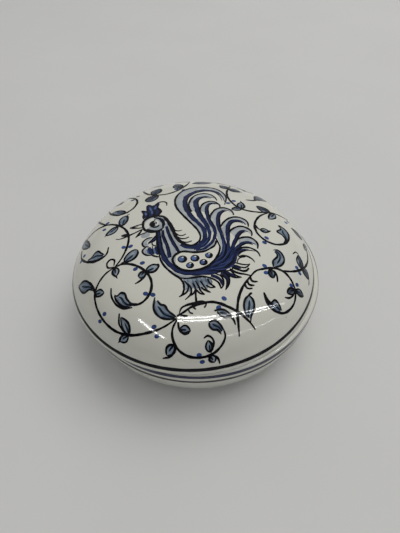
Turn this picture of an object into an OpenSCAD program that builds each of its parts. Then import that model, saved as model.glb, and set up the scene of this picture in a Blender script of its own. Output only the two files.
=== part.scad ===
// Round porcelain trinket box: a shallow dish on a foot ring, and a loose
// domed lid that rests on the dish's rim and is kept there by an inner rim.
// Millimetres, +Z up. The origin is the centre of the foot, on the table.

/* [Overall] */
// Diameter of the box where the lid meets the dish
box_d = 100; // [80:1:125]
// Height of the seam between dish and lid above the table
seam_h = 24; // [20:0.5:32]
// Height of the lid's crown above the seam
lid_h = 23; // [19:0.5:30]

/* [Lid] */
// Thickness of the lid's wall
lid_wall = 3.2; // [2.4:0.1:4.5]
// Radius of the lid's shoulder, seen in section
shoulder_r = 27.7; // [20:0.1:31]
// Distance of the shoulder's centre below the seam
shoulder_drop = 8.9; // [5:0.1:13]
// Rounding of the lid's outer edge
lid_edge_r = 0.9; // [0.4:0.1:1.2]
// Distance that the lid rests off centre, towards -X
lid_off = 1.4; // [0:0.1:1.4]

/* [Dish] */
// Thickness of the dish's side wall
dish_wall = 3.4; // [2.6:0.1:4.5]
// Thickness of the dish's floor
floor_t = 3.6; // [2.6:0.1:5]
// Radius of the dish's side, seen in section
side_r = 44.5; // [36:0.5:60]
// Distance of the dish's widest point below the seam
belly_drop = 0.9; // [0:0.1:4]
// Radius of the turn from the side to the underside
heel_r = 8; // [6:0.5:10]
// Rounding of the dish's outer rim
rim_r = 1.3; // [0.6:0.1:2]

/* [Locating rim] */
// Height of the locating rim above the seam
guide_h = 3.2; // [2:0.1:5]
// Thickness of the locating rim
guide_t = 2.6; // [2:0.1:3.5]
// Gap between locating rim and lid where they are closest
lid_gap = 0.4; // [0.3:0.1:1]
// Thickness of the ledge under the lid's edge
ledge_t = 3.2; // [2.4:0.1:4.5]

/* [Foot ring] */
// Outer diameter of the foot ring
foot_d = 68; // [50:1:74]
// Width of the foot ring
foot_w = 4; // [3:0.1:7]
// Height of the foot ring
foot_h = 2.5; // [1.5:0.1:4]
// Rounding of the foot ring's edges
foot_edge_r = 0.8; // [0.3:0.1:1.2]

/* [Hidden] */
$fn = 160;
over = 1;                       // how far a cutting shape runs past a face
box_r = box_d / 2;
white = "#e9e8e0";

// Lid section. The rounded edge is as wide as the box, the shoulder arc is
// tangent to it, and the crown arc is tangent to the shoulder arc.
lid_edge_x = box_r - lid_edge_r;
shoulder_x = lid_edge_x - sqrt(pow(shoulder_r - lid_edge_r, 2)
    - pow(shoulder_drop + lid_edge_r, 2));
crown_rise = lid_h + shoulder_drop;
crown_r = (pow(shoulder_x, 2) + pow(crown_rise, 2) - pow(shoulder_r, 2))
    / (2 * (crown_rise - shoulder_r));
join_a = asin(shoulder_x / (crown_r - shoulder_r));
shoulder_z = seam_h - shoulder_drop;
crown_z = seam_h + lid_h - crown_r;
lid_edge_top = shoulder_z
    + shoulder_r * (shoulder_drop + lid_edge_r) / (shoulder_r - lid_edge_r);

// Dish section. The rim's rounding and the heel arc are tangent to the side
// arc, and the heel arc is tangent to the underside too.
side_x = box_r - side_r;
side_z = seam_h - belly_drop;
rim_x = side_x + sqrt(pow(side_r - rim_r, 2) - pow(belly_drop - rim_r, 2));
rim_low = side_z + side_r * (belly_drop - rim_r) / (side_r - rim_r);

// The locating rim's outer radius clears the lid's inside at the rim's top.
lid_in_r = shoulder_x
    + sqrt(pow(shoulder_r - lid_wall, 2) - pow(shoulder_drop + guide_h, 2));
guide_r = lid_in_r - lid_gap - lid_off;
mouth_r = guide_r - guide_t;

// Half section of the lid's solid dome, shrunk by wall t on every side.
module dome_section(t) {
    join_z = crown_z + (crown_r - t) * cos(join_a);
    intersection() {
        translate([0, crown_z]) circle(crown_r - t);
        translate([0, join_z]) square([box_d, lid_h]);
    }
    intersection() {
        translate([shoulder_x, shoulder_z]) circle(shoulder_r - t);
        translate([0, seam_h - over]) square([box_d, join_z - seam_h + over]);
    }
    translate([0, seam_h - over])
        square([shoulder_x, join_z - seam_h + over]);
}

// Half section of the solid bowl, shrunk by wall t at its side and heel,
// with its flat underside at height low.
module bowl_section(t, low) {
    turn_r = heel_r - t;
    turn_z = low + turn_r;
    reach = side_r - heel_r;
    turn_x = side_x + sqrt(pow(reach, 2) - pow(side_z - turn_z, 2));
    join_z = turn_z - turn_r * (side_z - turn_z) / reach;
    intersection() {
        translate([side_x, side_z]) circle(side_r - t);
        translate([0, join_z]) square([box_d, seam_h - join_z]);
    }
    intersection() {
        translate([turn_x, turn_z]) circle(turn_r);
        translate([0, low]) square([box_d, join_z - low]);
    }
    translate([0, low]) square([turn_x, join_z - low]);
}

// Half section of a ring from radius r1 to r2 that stands on height z, h
// high, with its two lower edges rounded.
module standing_ring(r1, r2, z, h, edge) {
    translate([r1, z + edge]) square([r2 - r1, h - edge]);
    translate([r1 + edge, z]) square([r2 - r1 - 2 * edge, h]);
    for (r = [r1 + edge, r2 - edge])
        translate([r, z + edge]) circle(edge);
}

module base() {
    color(white) rotate_extrude() {
        difference() {
            union() {
                bowl_section(0, foot_h);
                translate([0, seam_h - ledge_t])
                    square([guide_r, ledge_t + guide_h - guide_t / 2]);
                translate([guide_r - guide_t / 2, seam_h + guide_h - guide_t / 2])
                    circle(guide_t / 2);
            }
            // Rounded outer rim
            difference() {
                translate([rim_x, rim_low])
                    square([box_r, seam_h - rim_low + over]);
                translate([rim_x, seam_h - rim_r]) circle(rim_r);
            }
            // Hollow below the ledge, whose underside slopes up to the mouth
            intersection() {
                bowl_section(dish_wall, foot_h + floor_t);
                polygon([
                    [0, foot_h],
                    [box_r, foot_h],
                    [box_r, seam_h - ledge_t - (box_r - mouth_r) / 2],
                    [mouth_r, seam_h - ledge_t],
                    [0, seam_h - ledge_t]
                ]);
            }
            // Mouth
            translate([0, foot_h + floor_t + heel_r - dish_wall])
                square([mouth_r, seam_h + guide_h]);
        }
        standing_ring(foot_d / 2 - foot_w, foot_d / 2, 0, foot_h + floor_t / 2,
            foot_edge_r);
    }
}

module lid() {
    color(white) translate([-lid_off, 0, 0]) rotate_extrude() {
        difference() {
            intersection() {
                dome_section(0);
                translate([0, seam_h]) square([box_d, lid_h + over]);
            }
            // Rounded outer edge
            difference() {
                translate([lid_edge_x, seam_h - over])
                    square([box_r, lid_edge_top - seam_h + over]);
                translate([lid_edge_x, seam_h + lid_edge_r])
                    circle(lid_edge_r);
            }
            dome_section(lid_wall);
        }
    }
}

base();
lid();
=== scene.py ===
"""A round porcelain trinket box: a shallow dish and a loose domed lid, both glazed, with
a blue and black painting on the lid and painted lines round the dish."""
import math
import random

import bmesh
import bpy
from mathutils import Matrix, Vector


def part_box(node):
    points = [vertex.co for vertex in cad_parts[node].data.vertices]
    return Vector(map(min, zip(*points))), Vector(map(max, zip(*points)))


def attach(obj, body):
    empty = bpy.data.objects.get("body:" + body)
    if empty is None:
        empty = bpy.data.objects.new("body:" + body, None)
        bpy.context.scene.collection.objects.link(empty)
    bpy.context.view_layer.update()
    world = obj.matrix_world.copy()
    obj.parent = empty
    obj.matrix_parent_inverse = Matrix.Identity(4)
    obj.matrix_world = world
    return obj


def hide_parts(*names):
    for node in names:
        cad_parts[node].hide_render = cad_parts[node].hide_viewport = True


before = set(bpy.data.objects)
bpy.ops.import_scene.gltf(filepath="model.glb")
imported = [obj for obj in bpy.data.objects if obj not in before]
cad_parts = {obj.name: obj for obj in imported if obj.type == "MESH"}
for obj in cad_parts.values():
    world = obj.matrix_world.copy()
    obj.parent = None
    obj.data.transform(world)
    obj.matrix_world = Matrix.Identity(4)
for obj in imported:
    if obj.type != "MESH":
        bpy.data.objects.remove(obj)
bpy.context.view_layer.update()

MM = 0.001
PAINT = random.Random(7)

# ---------------------------------------------------------------- sizes, in millimetres
LID_LOW, LID_HIGH = [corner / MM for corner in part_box("lid")]
DISH_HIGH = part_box("base")[1] / MM
BOX_R = (LID_HIGH.x - LID_LOW.x) / 2
LID_X = (LID_HIGH.x + LID_LOW.x) / 2
SEAM_Z = LID_LOW.z
TOP_Z = LID_HIGH.z

# Lid section, as in the CAD model: crown arc, shoulder arc and a rounded edge.
LID_WALL = 3.2
SHOULDER_R = 27.7
SHOULDER_DROP = 8.9
LID_EDGE_R = 0.9
LID_EDGE_X = BOX_R - LID_EDGE_R
SHOULDER_X = LID_EDGE_X - math.sqrt(
    (SHOULDER_R - LID_EDGE_R) ** 2 - (SHOULDER_DROP + LID_EDGE_R) ** 2)
SHOULDER_Z = SEAM_Z - SHOULDER_DROP
CROWN_RISE = TOP_Z - SHOULDER_Z
CROWN_R = (SHOULDER_X ** 2 + CROWN_RISE ** 2 - SHOULDER_R ** 2) / (
    2 * (CROWN_RISE - SHOULDER_R))
CROWN_Z = TOP_Z - CROWN_R
JOIN_A = math.asin(SHOULDER_X / (CROWN_R - SHOULDER_R))
CROWN_ARC = CROWN_R * JOIN_A

# Dish section, as in the CAD model: side arc, heel arc, foot ring and locating rim.
DISH_WALL = 3.4
FLOOR_T = 3.6
SIDE_R = 44.5
BELLY_DROP = 0.9
HEEL_R = 8.0
RIM_R = 1.3
LEDGE_T = 3.2
GUIDE_T = 2.6
LID_GAP = 0.4
FOOT_R = 34.0
FOOT_W = 4.0
FOOT_H = 2.5
FOOT_EDGE_R = 0.8
GUIDE_TOP = DISH_HIGH.z
SIDE_X = BOX_R - SIDE_R
SIDE_Z = SEAM_Z - BELLY_DROP
GUIDE_R = SHOULDER_X + math.sqrt(
    (SHOULDER_R - LID_WALL) ** 2 - (GUIDE_TOP - SHOULDER_Z) ** 2) - LID_GAP + LID_X

# Shifts along X beyond the CAD model's: the photo shows the lid about 2 mm off centre,
# and the CAD model's shapes have 1.4 mm of it.
LID_SHIFT = -0.3
DISH_SHIFT = 0.3

# Small unevenness from the kiln
OVAL = 0.0005                    # lack of roundness, as shares of the radius
THREE_SIDED = 0.0003
EASE_R = 0.35                    # rounding that the glaze leaves on an edge

# Painting: heights above the glaze, and the brush's widths
WASH_LIFT = 0.016
BLUE_LIFT = 0.030
LINE_LIFT = 0.046
DOT_LIFT = 0.060
LAYER_STEP = 0.0012              # one patch above the one before it, where they overlap
LAYERS = 8                       # patches before the steps start again
SINK = 0.03                      # how deep a patch's underside lies in the glaze
VINE_W = 1.0
PEN_W = 0.8
HAIR_W = 0.5
BAND_AT = 56.3                   # along the lid from its crown
BAND_W = 1.35
BLUE_LINE_Z = 22.4
BLUE_LINE_W = 2.1
DARK_LINE_Z = 18.6
DARK_LINE_W = 1.7
LINE_TILT = 0.3                  # how far the dish's lines rise and fall

# How finely shapes are divided
LINE_STEP = 2.0                  # along a straight stretch of a section
STEP = 0.45                      # along a stroke
FILL_STEP = 0.9                  # across a filled shape
CURVE_SPLIT = 24                 # fine steps between two points of a curve
ROUND_STEPS = 360                # round a whole turn
SHARP_ANGLE = 40                 # degrees, above which an edge is drawn sharp


# ---------------------------------------------------------------- sections and shells
def arc(x, z, radius, start, end, step=0.8):
    """Points of a section's arc, from angle start to end in radians from the +X side."""
    count = max(3, math.ceil(abs(end - start) * radius / step))
    angles = [start + (end - start) * i / count for i in range(count + 1)]
    return [(x + radius * math.cos(a), z + radius * math.sin(a)) for a in angles]


def line(x0, z0, x1, z1):
    """Points of a section's straight stretch, both ends included."""
    count = max(1, math.ceil(math.hypot(x1 - x0, z1 - z0) / LINE_STEP))
    return [(x0 + (x1 - x0) * i / count, z0 + (z1 - z0) * i / count)
            for i in range(count + 1)]


def lid_section():
    """The lid's outline, from its crown round the edge to the inside of its crown."""
    half = math.pi / 2
    edge_a = math.asin((SHOULDER_DROP + LID_EDGE_R) / (SHOULDER_R - LID_EDGE_R))
    inner_r = SHOULDER_R - LID_WALL
    inner_a = math.asin(SHOULDER_DROP / inner_r)
    inner_x = SHOULDER_X + inner_r * math.cos(inner_a)
    points = arc(0, CROWN_Z, CROWN_R, half, half - JOIN_A)
    points += arc(SHOULDER_X, SHOULDER_Z, SHOULDER_R, half - JOIN_A, edge_a)
    points += arc(LID_EDGE_X, SEAM_Z + LID_EDGE_R, LID_EDGE_R, edge_a, -half, 0.15)
    points += arc(inner_x + EASE_R, SEAM_Z + EASE_R, EASE_R, -half, -math.pi, 0.1)
    ease_a = math.asin((SHOULDER_DROP + 2 * EASE_R) / inner_r)
    points += arc(SHOULDER_X, SHOULDER_Z, inner_r, ease_a, half - JOIN_A)
    points += arc(0, CROWN_Z, CROWN_R - LID_WALL, half - JOIN_A, half)
    return tidy_section(points)


def dish_section():
    """The dish's outline, from the middle of its underside round to the middle of its floor."""
    half = math.pi / 2
    heel_z = FOOT_H + HEEL_R
    heel_x = SIDE_X + math.sqrt((SIDE_R - HEEL_R) ** 2 - (SIDE_Z - heel_z) ** 2)
    heel_a = math.asin((heel_z - SIDE_Z) / (SIDE_R - HEEL_R))
    rim_x = SIDE_X + math.sqrt((SIDE_R - RIM_R) ** 2 - (BELLY_DROP - RIM_R) ** 2)
    rim_a = math.asin((SEAM_Z - RIM_R - SIDE_Z) / (SIDE_R - RIM_R))
    foot_in = FOOT_R - FOOT_W
    guide_x = GUIDE_R - GUIDE_T / 2
    mouth_r = GUIDE_R - GUIDE_T
    inner_r = SIDE_R - DISH_WALL
    turn_r = HEEL_R - DISH_WALL
    floor_z = FOOT_H + FLOOR_T
    turn_z = floor_z + turn_r
    turn_x = SIDE_X + math.sqrt((SIDE_R - HEEL_R) ** 2 - (SIDE_Z - turn_z) ** 2)
    turn_a = math.asin((turn_z - SIDE_Z) / (SIDE_R - HEEL_R))
    ledge_z = SEAM_Z - LEDGE_T - DISH_WALL / 2
    ledge_a = math.asin((ledge_z - SIDE_Z) / inner_r)
    points = line(0, FOOT_H, foot_in - FOOT_EDGE_R, FOOT_H)
    points += arc(foot_in - FOOT_EDGE_R, FOOT_H - FOOT_EDGE_R, FOOT_EDGE_R, half, 0, 0.2)
    points += arc(foot_in + FOOT_EDGE_R, FOOT_EDGE_R, FOOT_EDGE_R, math.pi, 3 * half, 0.2)
    points += arc(FOOT_R - FOOT_EDGE_R, FOOT_EDGE_R, FOOT_EDGE_R, -half, 0, 0.2)
    points += arc(FOOT_R + FOOT_EDGE_R, FOOT_H - FOOT_EDGE_R, FOOT_EDGE_R,
                  math.pi, half, 0.2)
    points += arc(heel_x, heel_z, HEEL_R, -half, heel_a, 0.6)
    points += arc(SIDE_X, SIDE_Z, SIDE_R, heel_a, rim_a)
    points += arc(rim_x, SEAM_Z - RIM_R, RIM_R, rim_a, half, 0.15)
    points += arc(GUIDE_R + EASE_R, SEAM_Z + EASE_R, EASE_R, -half, -math.pi, 0.1)
    points += arc(guide_x, GUIDE_TOP - GUIDE_T / 2, GUIDE_T / 2, 0, math.pi, 0.2)
    points += arc(mouth_r + EASE_R, SEAM_Z - LEDGE_T + EASE_R, EASE_R,
                  math.pi, 3 * half - 0.5, 0.1)
    points += arc(SIDE_X, SIDE_Z, inner_r, ledge_a, turn_a)
    points += arc(turn_x, turn_z, turn_r, turn_a, -half, 0.5)
    points += line(turn_x, floor_z, 0, floor_z)
    return tidy_section(points)


def tidy_section(points):
    """Leaves out points that fall on the one before them."""
    kept = [points[0]]
    for x, z in points[1:]:
        if math.hypot(x - kept[-1][0], z - kept[-1][1]) > 0.02:
            kept.append((x, z))
    return kept


def kiln(x, z, phi, shift):
    """The point, in metres, of a turned form at radius x and height z in mm and at angle
    phi, with the slight lack of roundness that firing leaves."""
    radius = x * (1 + OVAL * math.sin(2 * phi + 0.6) + THREE_SIDED * math.sin(3 * phi + 2.1))
    return Vector((
        (shift + radius * math.cos(phi)) * MM, radius * math.sin(phi) * MM, z * MM))


def mesh_object(name, points, faces):
    """A smooth-shaded mesh object with its faces turned outwards and sharp edges kept."""
    mesh = bpy.data.meshes.new(name)
    mesh.from_pydata(points, [], faces)
    shape = bmesh.new()
    shape.from_mesh(mesh)
    bmesh.ops.recalc_face_normals(shape, faces=shape.faces)
    shape.to_mesh(mesh)
    shape.free()
    mesh.shade_smooth()
    mesh.set_sharp_from_angle(angle=math.radians(SHARP_ANGLE))
    thing = bpy.data.objects.new(name, mesh)
    bpy.context.scene.collection.objects.link(thing)
    return thing


def lathe(name, section, shift):
    """A closed turned form. The section starts and ends on the axis."""
    sides = ROUND_STEPS
    points = [kiln(0, section[0][1], 0, shift)]
    faces = []
    for x, z in section[1:-1]:
        points += [kiln(x, z, math.tau * k / sides, shift) for k in range(sides)]
    points.append(kiln(0, section[-1][1], 0, shift))
    rings = len(section) - 2
    last = len(points) - 1
    for k in range(sides):
        n = (k + 1) % sides
        faces.append((0, 1 + k, 1 + n))
        faces.append((last, last - sides + n, last - sides + k))
        for ring in range(rings - 1):
            a = 1 + ring * sides
            faces.append((a + k, a + sides + k, a + sides + n, a + n))
    return mesh_object(name, points, faces)


# ---------------------------------------------------------------- surfaces to paint on
def on_lid(x, y, lift):
    """The point of the lid's outside at (x, y) on a flat drawing of it: the distance from
    the middle of the drawing is the distance along the lid from its crown."""
    along = math.hypot(x, y)
    phi = math.atan2(y, x)
    if along < CROWN_ARC:
        a = along / CROWN_R
        return kiln((CROWN_R + lift) * math.sin(a), CROWN_Z + (CROWN_R + lift) * math.cos(a),
                    phi, LID_X + LID_SHIFT)
    a = JOIN_A + (along - CROWN_ARC) / SHOULDER_R
    return kiln(SHOULDER_X + (SHOULDER_R + lift) * math.sin(a),
                SHOULDER_Z + (SHOULDER_R + lift) * math.cos(a), phi, LID_X + LID_SHIFT)


def on_dish(x, z, lift):
    """The point of the dish's side at x mm round it and at height z."""
    a = math.asin((z - SIDE_Z) / SIDE_R)
    radius = SIDE_R + lift
    return kiln(SIDE_X + radius * math.cos(a), SIDE_Z + radius * math.sin(a), x / BOX_R,
                DISH_SHIFT)


# ---------------------------------------------------------------- curves on the drawing
def smooth(points, count=None):
    """A smooth curve through the points, as even steps of about STEP mm, or count steps."""
    ends = [tuple(2 * a - b for a, b in zip(points[0], points[1])),
            tuple(2 * a - b for a, b in zip(points[-1], points[-2]))]
    knots = [ends[0], *points, ends[1]]
    dense = []
    for p0, p1, p2, p3 in zip(knots, knots[1:], knots[2:], knots[3:]):
        for i in range(CURVE_SPLIT):
            t = i / CURVE_SPLIT
            dense.append(tuple(
                0.5 * (2 * b + (c - a) * t + (2 * a - 5 * b + 4 * c - d) * t * t
                       + (3 * b - a - 3 * c + d) * t ** 3)
                for a, b, c, d in zip(p0, p1, p2, p3)))
    dense.append(tuple(points[-1]))
    lengths = [0.0]
    for (x0, y0), (x1, y1) in zip(dense, dense[1:]):
        lengths.append(lengths[-1] + math.hypot(x1 - x0, y1 - y0))
    count = count or max(3, round(lengths[-1] / STEP))
    even, i = [], 0
    for k in range(count + 1):
        goal = lengths[-1] * k / count
        while i < len(dense) - 2 and lengths[i + 1] < goal:
            i += 1
        share = (goal - lengths[i]) / max(lengths[i + 1] - lengths[i], 1e-9)
        even.append(tuple(a + (b - a) * min(share, 1.0) for a, b in zip(dense[i], dense[i + 1])))
    return even


def sides_of(path, closed=False):
    """The unit vector to the left of the path at each of its points."""
    out = []
    last = len(path) - 1
    for i in range(len(path)):
        before = path[i - 1] if i or closed else path[0]
        after = path[(i + 1) % len(path)] if i < last or closed else path[last]
        dx, dy = after[0] - before[0], after[1] - before[1]
        size = math.hypot(dx, dy) or 1.0
        out.append((-dy / size, dx / size))
    return out


def spiral(x, y, start_r, end_r, start, end, count=None):
    """Points along a turn about (x, y), from angle start to end in degrees."""
    count = count or max(4, round(abs(end - start) / 30))
    points = []
    for i in range(count + 1):
        t = i / count
        a = math.radians(start + (end - start) * t)
        r = start_r + (end_r - start_r) * t
        points.append((x + r * math.cos(a), y + r * math.sin(a)))
    return points


def turned(points, angle):
    """The points turned about the middle of the drawing, in degrees."""
    c, s = math.cos(math.radians(angle)), math.sin(math.radians(angle))
    return [(x * c - y * s, x * s + y * c) for x, y in points]


class Coat:
    """One colour of the painting: thin closed strokes that lie on the glaze."""

    def __init__(self, surface, lift):
        self.surface, self.lift = surface, lift
        self.points, self.faces, self.pool = [], [], []
        self.count = 0
        self.turn = 0.0

    def patch(self, rows, closed=False, load=None):
        """Adds one closed patch. Each row crosses it from edge to edge. load is how thick
        the paint is: 0 is thin, and above 1 it is thick throughout. Left out, the paint
        is thicker at the edges and differs a little from patch to patch."""
        lift = self.lift + LAYER_STEP * (self.count % LAYERS)
        self.count += 1
        first, ring = len(self.points), len(rows[0]) + 2
        chance = PAINT.uniform(0.0, 1.0)
        for row in rows:
            row = turned(row, self.turn) if self.turn else row
            for i, (x, y) in enumerate(row):
                across = 2 * i / (len(row) - 1) - 1
                self.points.append(self.surface(x, y, lift))
                thick = 0.6 * across * across + 0.4 * chance if load is None else load
                self.pool.append(thick)
            for x, y in (row[-1], row[0]):
                self.points.append(self.surface(x, y, -SINK))
                self.pool.append(1.0)
        spans = len(rows) if closed else len(rows) - 1
        for j in range(spans):
            a, b = first + j * ring, first + (j + 1) % len(rows) * ring
            for i in range(ring):
                k = (i + 1) % ring
                self.faces.append((a + i, a + k, b + k, b + i))
        if not closed:
            end = first + (len(rows) - 1) * ring
            self.faces.append(tuple(range(first, first + ring)))
            self.faces.append(tuple(range(end, end + ring)))

    def stroke(self, path, width, ends=(0.5, 0.35), closed=False, shake=0.08, load=None):
        """A brush stroke along the path. width is one value, or several spread evenly along
        it. ends are its widths at the ends, as shares."""
        widths = width if isinstance(width, tuple) else (width, width)
        columns = 2 if max(widths) < 1.2 else 4
        phase = PAINT.uniform(0, math.tau)
        rows = []
        for i, ((x, y), (nx, ny)) in enumerate(zip(path, sides_of(path, closed))):
            t = i / (len(path) - 1)
            place = t * (len(widths) - 1)
            k = min(int(place), len(widths) - 2)
            wide = widths[k] + (widths[k + 1] - widths[k]) * (place - k)
            wide *= 1 + shake * (math.sin(phase + i * 0.35) + math.sin(2 * phase + i * 0.83))
            if not closed:
                rise = math.sin(math.pi / 2 * min(1, t / 0.3))
                fall = math.sin(math.pi / 2 * min(1, (1 - t) / 0.3))
                wide *= min(ends[0] + (1 - ends[0]) * rise, ends[1] + (1 - ends[1]) * fall)
            rows.append([(x + nx * wide * (c / columns - 0.5), y + ny * wide * (c / columns - 0.5))
                         for c in range(columns + 1)])
        self.patch(rows, closed, load)

    def fill(self, edge_a, edge_b, trim=0.03):
        """Fills between two edges that run the same way. trim is the share of their
        length that it stops short by at each end."""
        reach = max(math.dist(p, q) for p, q in zip(edge_a, edge_b))
        columns = max(4, math.ceil(reach / FILL_STEP))
        count = max(6, len(edge_a))
        a, b = smooth(edge_a, count), smooth(edge_b, count)
        skip = max(1, round(count * trim))
        rows = [[(p[0] + (q[0] - p[0]) * c / columns, p[1] + (q[1] - p[1]) * c / columns)
                 for c in range(columns + 1)]
                for p, q in list(zip(a, b))[skip:count + 1 - skip]]
        self.patch(rows)

    def dot(self, x, y, length, width, angle=0.0):
        """An oval dab of paint."""
        c, s = math.cos(math.radians(angle)), math.sin(math.radians(angle))
        rows = []
        for i in range(9):
            u = math.sin(math.pi / 2 * 0.96 * (i / 4 - 1))
            half = width / 2 * math.sqrt(1 - u * u)
            row = [(u * length / 2, half * (k / 2 - 1)) for k in range(5)]
            rows.append([(x + c * p - s * q, y + s * p + c * q) for p, q in row])
        self.patch(rows)

    def build(self, name, body, material):
        """The coat as one object that rides on a body."""
        thing = mesh_object(name, self.points, self.faces)
        pool = thing.data.attributes.new("pool", "FLOAT", "POINT")
        pool.data.foreach_set("value", self.pool)
        thing.data.materials.append(material)
        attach(thing, body)
        return thing


# ---------------------------------------------------------------- materials
def shader(name):
    """A new node material: its node tree, its Principled shader and its object coordinates."""
    material = bpy.data.materials.new(name)
    material.use_nodes = True
    nodes = material.node_tree.nodes
    where = nodes.new("ShaderNodeTexCoord").outputs["Object"]
    return material, material.node_tree, nodes["Principled BSDF"], where


def noise(tree, where, scale, detail=3.0, roughness=0.5):
    """A noise texture's value. The scale is in features per metre."""
    node = tree.nodes.new("ShaderNodeTexNoise")
    node.inputs["Scale"].default_value = scale
    node.inputs["Detail"].default_value = detail
    node.inputs["Roughness"].default_value = roughness
    tree.links.new(where, node.inputs["Vector"])
    return node.outputs["Fac"]


def remap(tree, value, low, high, to_low, to_high):
    """The value moved from one range to another, and held inside it."""
    node = tree.nodes.new("ShaderNodeMapRange")
    node.inputs["From Min"].default_value = low
    node.inputs["From Max"].default_value = high
    node.inputs["To Min"].default_value = to_low
    node.inputs["To Max"].default_value = to_high
    tree.links.new(value, node.inputs["Value"])
    return node.outputs["Result"]


def blend_colours(tree, share, first, second):
    """Two colours mixed by a value. Either may be a socket."""
    node = tree.nodes.new("ShaderNodeMix")
    node.data_type = "RGBA"
    tree.links.new(share, node.inputs["Factor"])
    for socket, colour in ((node.inputs["A"], first), (node.inputs["B"], second)):
        if isinstance(colour, tuple):
            socket.default_value = (*colour, 1.0)
        else:
            tree.links.new(colour, socket)
    return node.outputs["Result"]


def multiply(tree, first, second):
    """Two values multiplied."""
    node = tree.nodes.new("ShaderNodeMath")
    node.operation = "MULTIPLY"
    tree.links.new(first, node.inputs[0])
    tree.links.new(second, node.inputs[1])
    return node.outputs[0]


def add(tree, first, second):
    """Two values added."""
    node = tree.nodes.new("ShaderNodeMath")
    node.operation = "ADD"
    tree.links.new(first, node.inputs[0])
    tree.links.new(second, node.inputs[1])
    return node.outputs[0]


def glass_coat(tree, surface, where, ior=1.5):
    """The fired glaze's gloss: smooth, with a faint ripple."""
    ripple = add(tree, noise(tree, where, 110, 2), noise(tree, where, 30, 1))
    bump = tree.nodes.new("ShaderNodeBump")
    bump.inputs["Strength"].default_value = 0.35
    bump.inputs["Distance"].default_value = 0.00008
    tree.links.new(ripple, bump.inputs["Height"])
    tree.links.new(bump.outputs["Normal"], surface.inputs["Normal"])
    gloss = remap(tree, noise(tree, where, 45, 4), 0.3, 0.7, 0.045, 0.10)
    tree.links.new(gloss, surface.inputs["Roughness"])
    surface.inputs["IOR"].default_value = ior


def porcelain():
    """Creamy white glaze, a little cooler in places, with a few small kiln specks."""
    material, tree, surface, where = shader("porcelain_glaze")
    cloud = remap(tree, noise(tree, where, 22, 3), 0.35, 0.65, 0, 1)
    body = blend_colours(tree, cloud, (0.72, 0.715, 0.645), (0.68, 0.685, 0.635))
    spots = tree.nodes.new("ShaderNodeTexVoronoi")
    spots.inputs["Scale"].default_value = 160
    tree.links.new(where, spots.inputs["Vector"])
    near = remap(tree, spots.outputs["Distance"], 0.03, 0.07, 1, 0)
    rare = remap(tree, noise(tree, where, 60, 1), 0.60, 0.64, 0, 0.45)
    colour = blend_colours(tree, multiply(tree, near, rare), body, (0.28, 0.25, 0.20))
    tree.links.new(colour, surface.inputs["Base Color"])
    glass_coat(tree, surface, where)
    return material


def bisque():
    """Unglazed fired clay where the pieces stand and meet: matt, slightly darker and grainy."""
    material, tree, surface, where = shader("bisque_clay")
    grain = noise(tree, where, 1800, 4, 0.7)
    stain = noise(tree, where, 90, 3)
    colour = blend_colours(tree, remap(tree, stain, 0.35, 0.7, 0, 1),
                           (0.66, 0.63, 0.57), (0.50, 0.46, 0.40))
    tree.links.new(colour, surface.inputs["Base Color"])
    tree.links.new(remap(tree, grain, 0.3, 0.7, 0.65, 0.9), surface.inputs["Roughness"])
    bump = tree.nodes.new("ShaderNodeBump")
    bump.inputs["Strength"].default_value = 0.5
    bump.inputs["Distance"].default_value = 0.00006
    tree.links.new(grain, bump.inputs["Height"])
    tree.links.new(bump.outputs["Normal"], surface.inputs["Normal"])
    return material


def brushed_paint(name, thin, thick, bias=0.0, ior=1.33):
    """Paint under the glaze: thick paint is darker, and it pools at a stroke's edges. ior
    is below the glaze's real 1.5, which keeps dark paint as dark as in the photo."""
    material, tree, surface, where = shader(name)
    pool = tree.nodes.new("ShaderNodeAttribute")
    pool.attribute_name = "pool"
    drift = remap(tree, noise(tree, where, 420, 4, 0.6), 0.3, 0.7, bias - 0.35, bias + 0.45)
    share = remap(tree, add(tree, pool.outputs["Fac"], drift), 0, 1, 0, 1)
    tree.links.new(blend_colours(tree, share, thin, thick), surface.inputs["Base Color"])
    glass_coat(tree, surface, where, ior)
    return material


# ---------------------------------------------------------------- the painting on the lid
# It follows the photographed decoration closely, read off it, except at the hidden
# back. What is to be done about it has to be decided before use.
LINES = Coat(on_lid, LINE_LIFT)          # black-blue vines and leaf outlines
WASH = Coat(on_lid, WASH_LIFT)           # thin grey-blue inside the leaves
DARKS = Coat(on_lid, BLUE_LIFT)          # thick slate blue on the darker leaves
BERRIES = Coat(on_lid, BLUE_LIFT)
BIRD_LINES = Coat(on_lid, LINE_LIFT)
BIRD_BLUE = Coat(on_lid, BLUE_LIFT)
BIRD_WASH = Coat(on_lid, WASH_LIFT)
DOTS = Coat(on_lid, DOT_LIFT)            # lighter blue dabs on the dark ones
PALE = Coat(on_lid, DOT_LIFT)            # near-white beside the eye
PALE_TOP = Coat(on_lid, DOT_LIFT + 0.012)     # near-white in the eye and on the wing's dots
EYE_TOP = Coat(on_lid, DOT_LIFT + 0.024)      # black on the eye's near-white


def between(coat, edge_a, edge_b, count):
    """Fills between the smooth curves through two rows of points."""
    coat.fill(smooth(edge_a, count), smooth(edge_b, count))


def vine(points, width=VINE_W):
    """A vine, or with PEN_W or HAIR_W a finer stem or tail."""
    LINES.stroke(smooth(points), width, (0.6, 0.5))


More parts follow.
